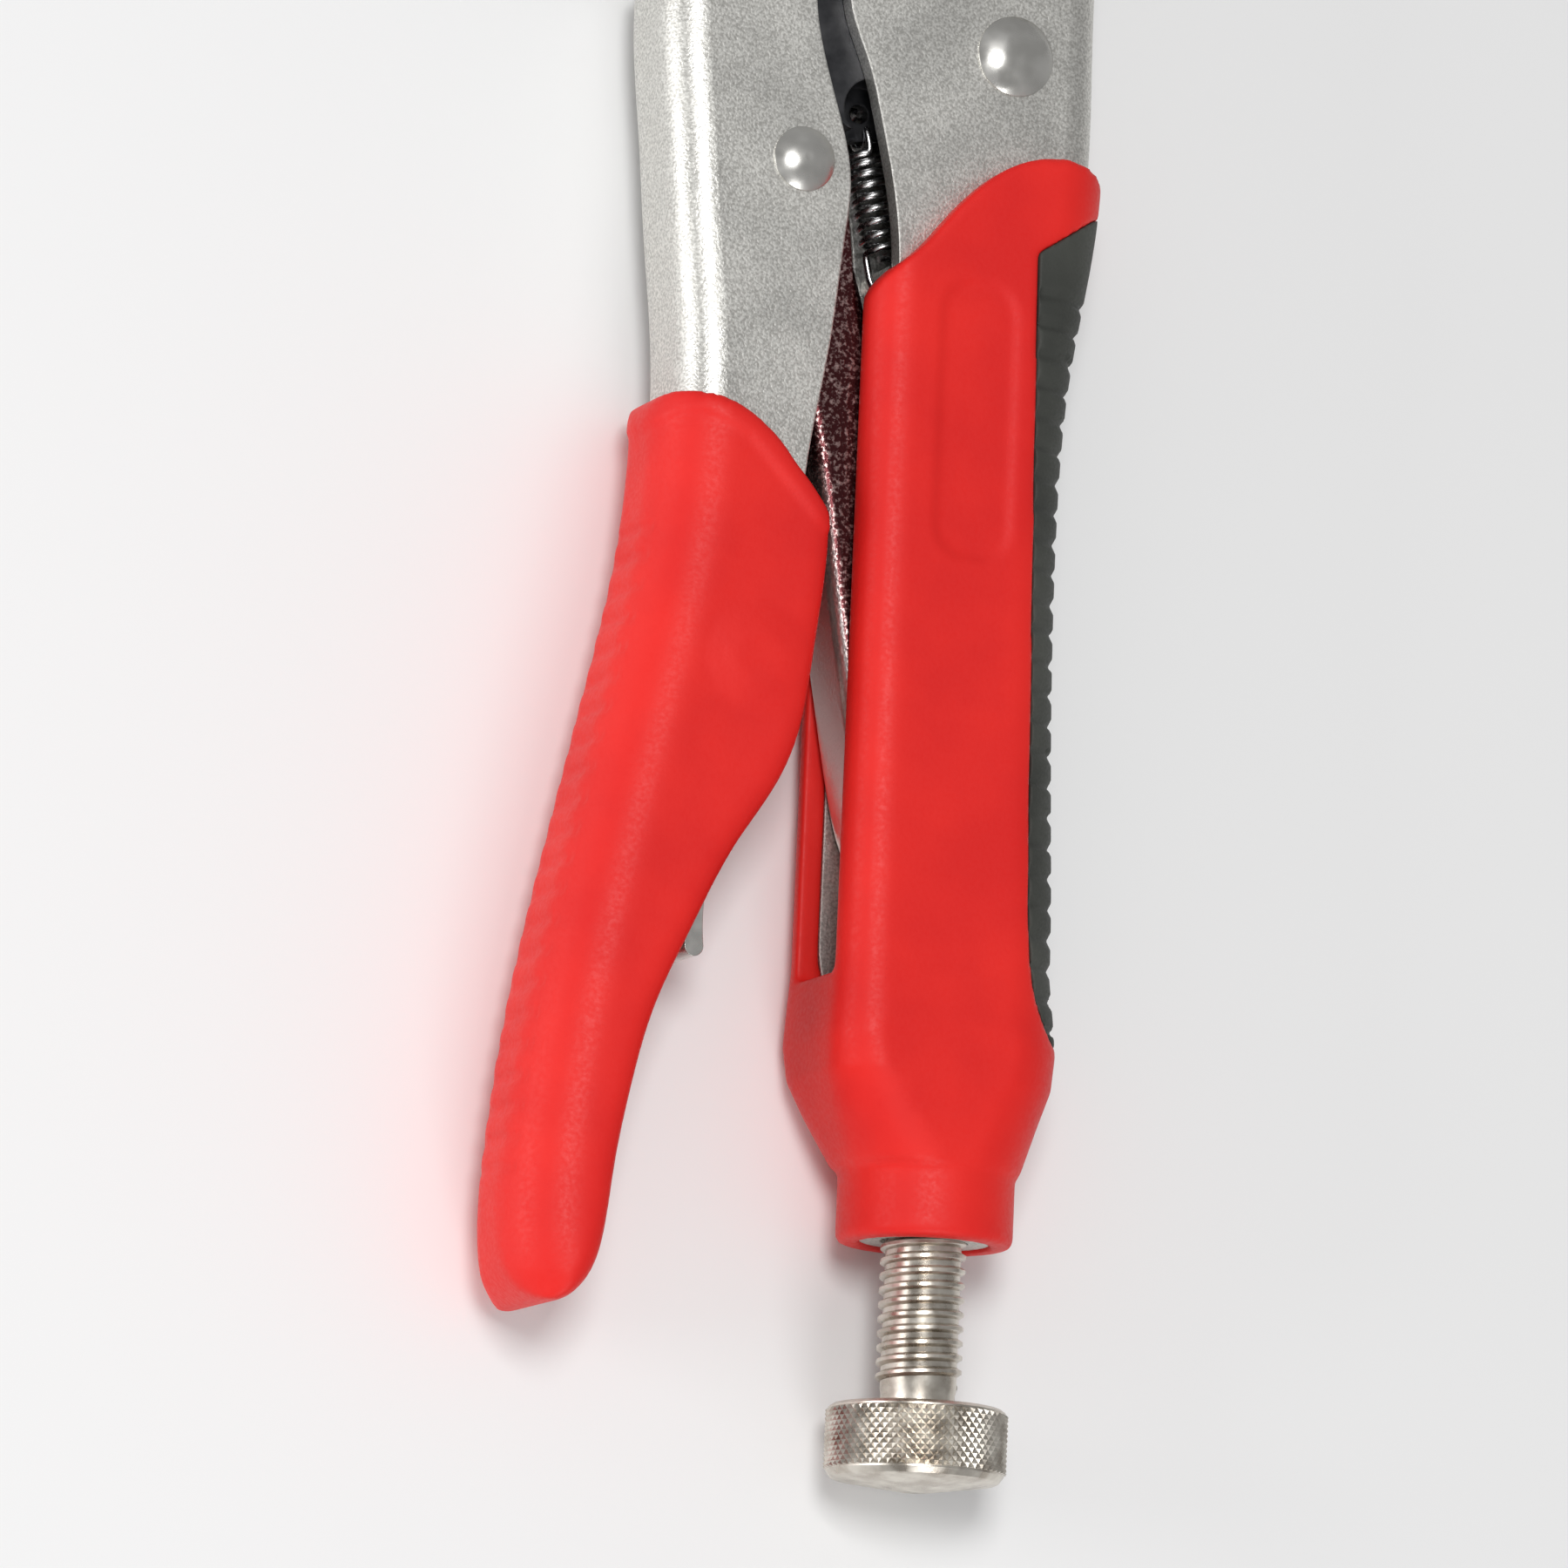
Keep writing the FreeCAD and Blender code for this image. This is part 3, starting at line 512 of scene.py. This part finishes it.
# the rings above the knurl run over the top and down the bore, those below it run to the coned end
bore = 3.05 * MM
knob_rings = {
    band_top: [
        (knob_top - 0.4 * MM, base), (knob_top - 0.08 * MM, rim - 0.75 * MM), (knob_top, rim - 1.0 * MM),
        (knob_top, bore), (knob_top - 5.9 * MM, bore),
    ],
    band_bottom: [
        (band_bottom - 0.2 * MM, base), (knob_low.y + 1.55 * MM, rim - 0.8 * MM),
        (knob_low.y + 1.4 * MM, rim - 1.1 * MM), (knob_low.y + 0.25 * MM, 1.6 * MM),
    ],
}
for height, rings in knob_rings.items():
    radius = base
    for next_height, next_radius in rings:
        add_ring(knob, height, radius, next_height, next_radius)
        height, radius = next_height, next_radius
choose(knob)
bpy.ops.object.mode_set(mode="EDIT")
bpy.ops.mesh.select_mode(type="EDGE")
bpy.ops.mesh.select_all(action="DESELECT")
bpy.ops.mesh.select_non_manifold(extend=False, use_wire=False, use_multi_face=False, use_verts=False)
bpy.ops.mesh.edge_face_add()
bpy.ops.mesh.select_all(action="SELECT")
bpy.ops.mesh.normals_make_consistent(inside=False)
bpy.ops.object.mode_set(mode="OBJECT")
bpy.ops.object.shade_smooth_by_angle(angle=math.radians(22))
knob.data.materials.append(warm)
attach(knob, "knob")
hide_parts("screw_knob")

# Fixed grip
# A red thermoplastic rubber sleeve moulded over the fixed handle and its tube, with a shallow sunk
# panel on each side. Its edges are soft, as moulded rubber's are


def copy_node(node, name):
    """A merged copy of a CAD node's mesh as a new piece."""
    piece = bpy.data.objects.new(name, frame["nodes"][node].data.copy())
    bpy.context.scene.collection.objects.link(piece)
    piece.data.materials.clear()
    choose(piece)
    bpy.ops.mesh.customdata_custom_splitnormals_clear()
    bpy.ops.object.mode_set(mode="EDIT")
    bpy.ops.mesh.select_all(action="SELECT")
    bpy.ops.mesh.remove_doubles(threshold=0.000001)
    bpy.ops.object.mode_set(mode="OBJECT")
    return piece


def apply_modifier(piece, kind, **settings):
    choose(piece)
    modifier = piece.modifiers.new(kind.lower(), kind)
    for name, value in settings.items():
        setattr(modifier, name, value)
    bpy.ops.object.modifier_apply(modifier=modifier.name)


def soften(piece, voxel, passes):
    """Remeshes a piece evenly and rounds its edges, as rubber comes out of a mould."""
    apply_modifier(piece, "REMESH", mode="VOXEL", voxel_size=voxel * MM)
    apply_modifier(piece, "SMOOTH", factor=0.5, iterations=passes)


def push(piece, test, amount):
    """Moves the vertices that pass the test along their normals, by an amount in millimetres."""
    count = len(piece.data.vertices)
    places = np.empty(count * 3)
    normals = np.empty(count * 3)
    piece.data.vertices.foreach_get("co", places)
    piece.data.vertices.foreach_get("normal", normals)
    places = (places.reshape(-1, 3) - np.array(pivot)) / MM
    chosen = test(places, normals.reshape(-1, 3))
    for group in (piece.data.edges, piece.data.polygons):
        group.foreach_set("select", [False] * len(group))
    piece.data.vertices.foreach_set("select", chosen)
    choose(piece)
    bpy.context.scene.tool_settings.mesh_select_mode = (True, False, False)
    bpy.ops.object.mode_set(mode="EDIT")
    bpy.ops.transform.shrink_fatten(value=amount * MM)
    bpy.ops.object.mode_set(mode="OBJECT")


def moulded_rubber(name, dark, light, roughness, grain, height):
    material, shader = new_material(name, light, 0.0, roughness)
    shader.inputs["Specular IOR Level"].default_value = 0.3
    links = material.node_tree.links
    cloud = noise(material, 14.0, 4.0)
    fine = noise(material, grain, 3.0)
    links.new(ramp(material, cloud.outputs["Fac"], dark, light), shader.inputs["Base Color"])
    spread = ramp(material, fine.outputs["Fac"], (roughness - 0.06,) * 3, (roughness + 0.08,) * 3)
    links.new(spread, shader.inputs["Roughness"])
    links.new(bump(material, fine.outputs["Fac"], height, 0.5), shader.inputs["Normal"])
    return material


fixed_grip = copy_node("fixed_grip", "fixed_handle_grip")
grip_half = 10.2
PANEL_DEPTH = 0.3
for side in (1, -1):
    bpy.ops.object.select_all(action="DESELECT")
    middle = at(-4.2, -43.0, side * (grip_half + 1.0 - PANEL_DEPTH))
    bpy.ops.mesh.primitive_cube_add(size=1, location=middle, scale=(9.4 * MM, 32 * MM, 2 * MM))
    panel = bpy.context.object
    bpy.ops.object.transform_apply(location=True, rotation=True, scale=True)
    select_edges(panel, lambda a, b: abs(a.z - b.z) > MM)
    in_edit(panel, lambda: bpy.ops.mesh.bevel(offset=3.8 * MM, segments=8))
    apply_modifier(fixed_grip, "BOOLEAN", operation="DIFFERENCE", object=panel, solver="EXACT")
    bpy.data.objects.remove(panel)
soften(fixed_grip, 0.46, 3)
choose(fixed_grip)
bpy.ops.object.shade_smooth()
red = moulded_rubber("red_rubber", (0.72, 0.014, 0.012), (0.81, 0.02, 0.015), 0.5, 0.5, 0.03)
fixed_grip.data.materials.append(red)
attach(fixed_grip, "frame")
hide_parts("fixed_grip")

# Grip insert
# A strip of dark, softer rubber let into the back of the fixed grip, with rounded ribs across it for
# the palm

insert = copy_node("grip_insert", "ribbed_grip_insert")
soften(insert, 0.3, 2)
RIB = 3.44


def between_ribs(share):
    """A test for the outer side within a share of the rib's pitch of the line between two ribs."""
    def test(places, normals):
        phase = np.abs(places[:, 1] / RIB - np.round(places[:, 1] / RIB))
        outer = normals[:, 0] > -0.2
        in_run = (places[:, 1] < -25.5) & (places[:, 1] > -110.5)
        return (phase < share / 2) & outer & in_run
    return test


for share in (0.46, 0.3, 0.16):
    push(insert, between_ribs(share), -0.15)
apply_modifier(insert, "SMOOTH", factor=0.4, iterations=1)
choose(insert)
bpy.ops.object.shade_smooth()
grey = moulded_rubber("dark_rubber", (0.04, 0.042, 0.037), (0.068, 0.071, 0.062), 0.62, 0.35, 0.05)
insert.data.materials.append(grey)
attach(insert, "frame")
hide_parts("grip_insert")

# Moving grip
# A red sleeve over the lower moving handle, with a bead round its top edge, small ribs along its back
# and a soft swelling over the release lever's rivet

moving_grip = copy_node("moving_grip", "moving_handle_grip")
soften(moving_grip, 0.42, 3)
# the back is rounded: in bands along the sleeve, its sides are brought in to an arc about the spine
BACK_ROUND = 8.0
SLEEVE_HALF = 9.5
BAND = 2
places = np.array([vertex.co for vertex in moving_grip.data.vertices])
local = (places - np.array(pivot)) / MM
bins = np.round(local[:, 1] / BAND).astype(int)
heights = np.unique(bins)
backs = np.array([local[bins == height, 0].min() for height in heights])
inset = np.clip(local[:, 0] - np.interp(local[:, 1] / BAND, heights, backs), 0, BACK_ROUND)
width = SLEEVE_HALF - BACK_ROUND + np.sqrt(BACK_ROUND ** 2 - (BACK_ROUND - inset) ** 2)
local[:, 2] = np.clip(local[:, 2], -width, width)
moving_grip.data.vertices.foreach_set("co", (local * MM + np.array(pivot)).ravel())
soften(moving_grip, 0.42, 8)
TOP_EDGE = np.array([
    (-42.0, -45.2), (-40.4, -44.6), (-38.6, -43.4), (-34.8, -43.9), (-29.4, -46.5), (-24.4, -51.6),
    (-20.4, -55.6),
])
FACE = 8.3


def near_top(reach):
    """A test for the outer side within a reach of the sleeve's top edge."""
    def test(places, normals):
        nearest = np.full(len(places), 1e9)
        for start, end in zip(TOP_EDGE[:-1], TOP_EDGE[1:]):
            run = end - start
            share = np.clip((places[:, :2] - start) @ run / (run @ run), 0, 1)
            gap = np.linalg.norm(places[:, :2] - start - share[:, None] * run, axis=1)
            nearest = np.minimum(nearest, gap)
        outer = (np.abs(places[:, 2]) > FACE) | (normals[:, 0] < -0.5)
        return (nearest < reach) & outer
    return test


for reach in (2.3, 2.0):
    push(moving_grip, near_top(reach), 0.16)
lever = (Vector(joints["lever_hinge"]["pos_m"]) - pivot) / MM


def over_rivet(reach):
    """A test for the sleeve's faces within a reach of the lever rivet."""
    def test(places, normals):
        gap = np.hypot(places[:, 0] - lever.x, places[:, 1] - lever.y)
        return (gap < reach) & (np.abs(places[:, 2]) > FACE)
    return test


for reach in (6.0, 5.3, 4.6, 3.9, 3.2):
    push(moving_grip, over_rivet(reach), 0.07)


def spine_grooves(share, steepness):
    """A test for the grooves between the ribs, where the surface faces back by more than a steepness."""
    def test(places, normals):
        phase = np.abs(places[:, 1] / RIB - np.round(places[:, 1] / RIB))
        in_run = (places[:, 1] < -58) & (places[:, 1] > -131)
        return (phase < share / 2) & (normals[:, 0] < -steepness) & in_run
    return test


for share, steepness in ((0.5, 0.9), (0.36, 0.94), (0.2, 0.965)):
    push(moving_grip, spine_grooves(share, steepness), -0.13)
apply_modifier(moving_grip, "SMOOTH", factor=0.5, iterations=4)
choose(moving_grip)
bpy.ops.object.shade_smooth()
moving_grip.data.materials.append(red)
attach(moving_grip, "handle")
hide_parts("moving_grip")
